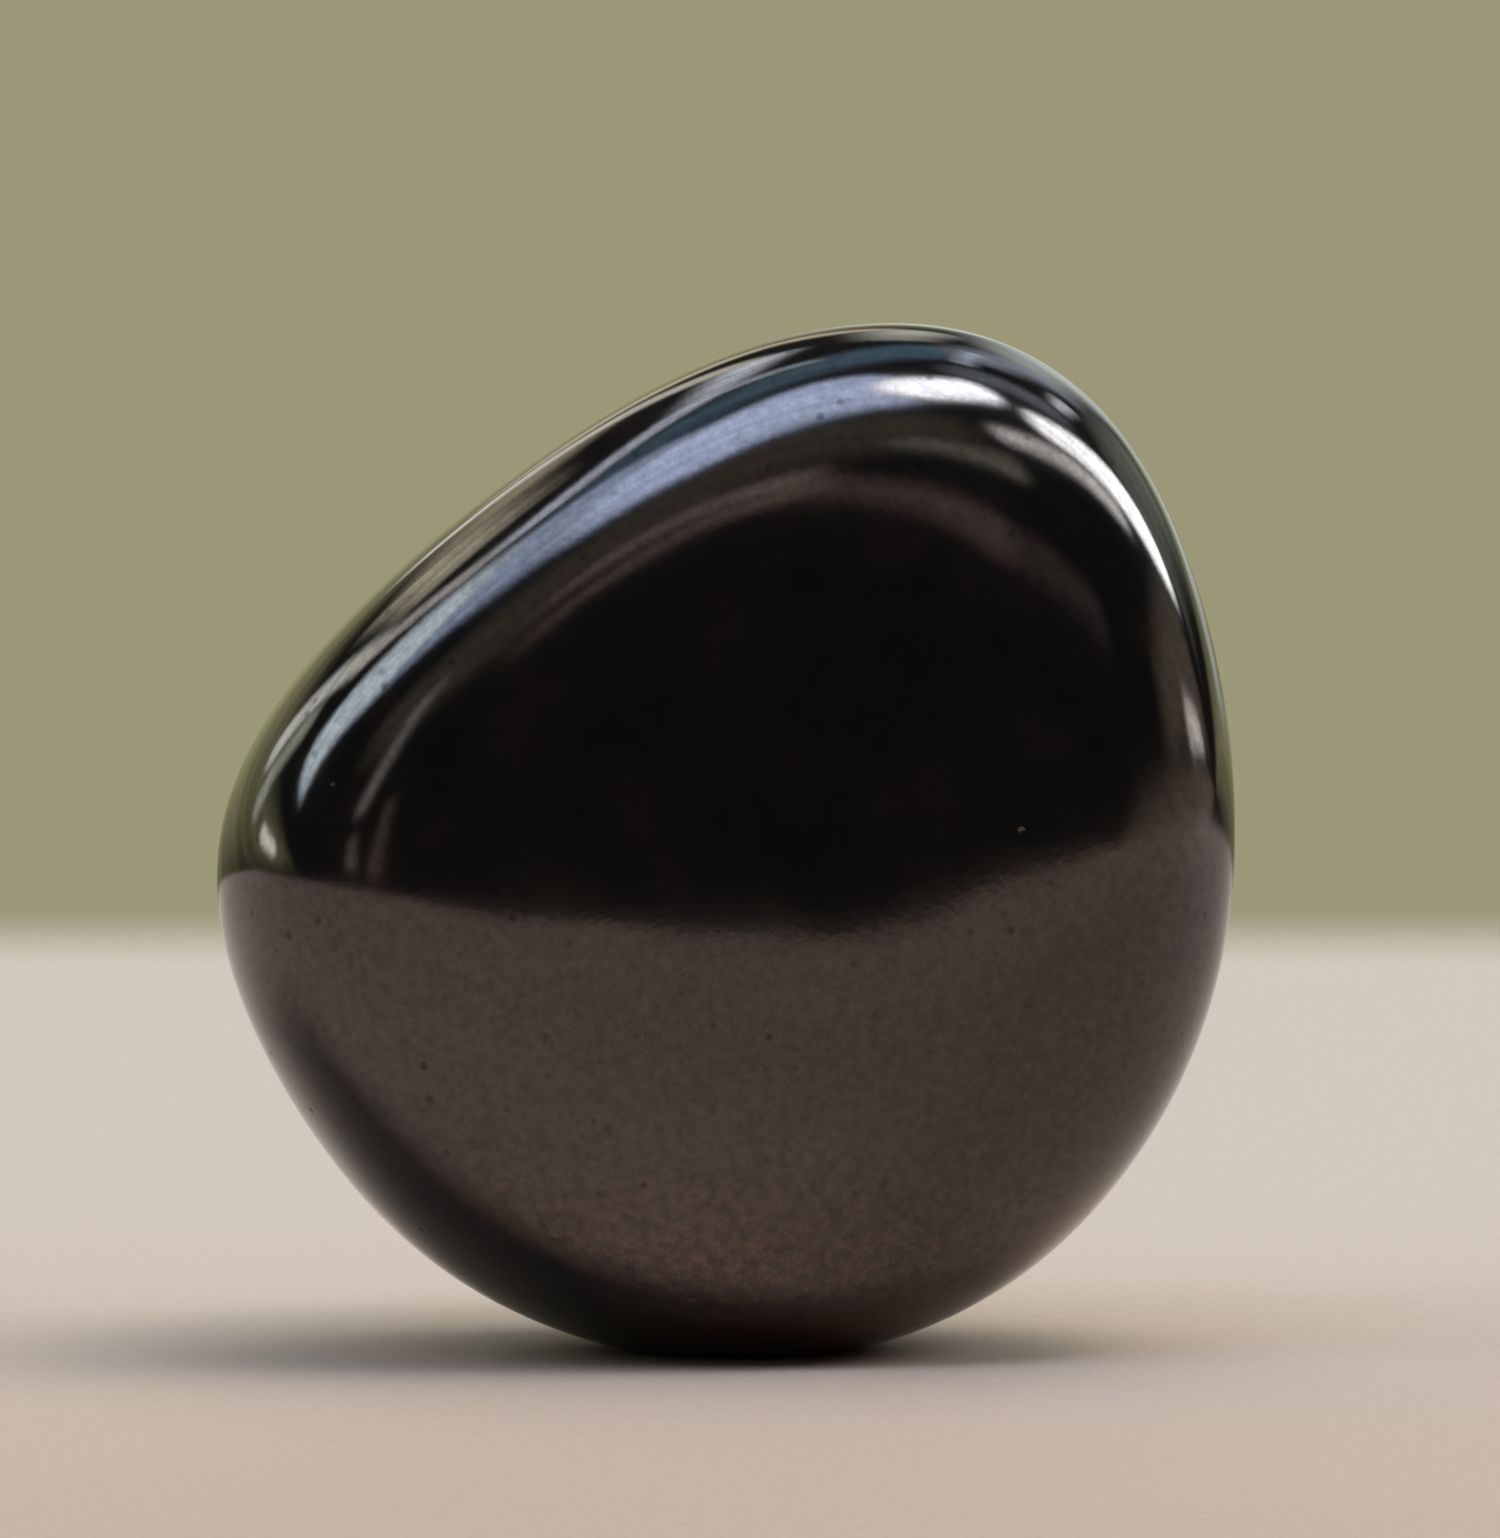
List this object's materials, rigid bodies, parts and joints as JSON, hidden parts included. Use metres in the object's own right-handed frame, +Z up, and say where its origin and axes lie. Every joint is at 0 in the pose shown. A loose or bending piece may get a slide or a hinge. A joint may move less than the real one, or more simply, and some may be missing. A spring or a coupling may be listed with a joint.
{
  "type": "tumbled black tourmaline",
  "caption": "Polished black tourmaline pebble with a broad flat front, a straight left slope and a domed back, standing on a small worn flat.",
  "frame": {"origin": "on the ground, under the middle of the stone's box", "axes": "+Z up through the crown, -Y out of the broad front face, +X to the right as the front is seen"},
  "size_m": [0.0274, 0.0178, 0.0279],
  "materials": {
    "polished_black_tourmaline": "tumble-polished, mirror-like with fine pits"
  },
  "bodies": {
    "root": {"stone": "polished_black_tourmaline"}
  },
  "joints": []
}
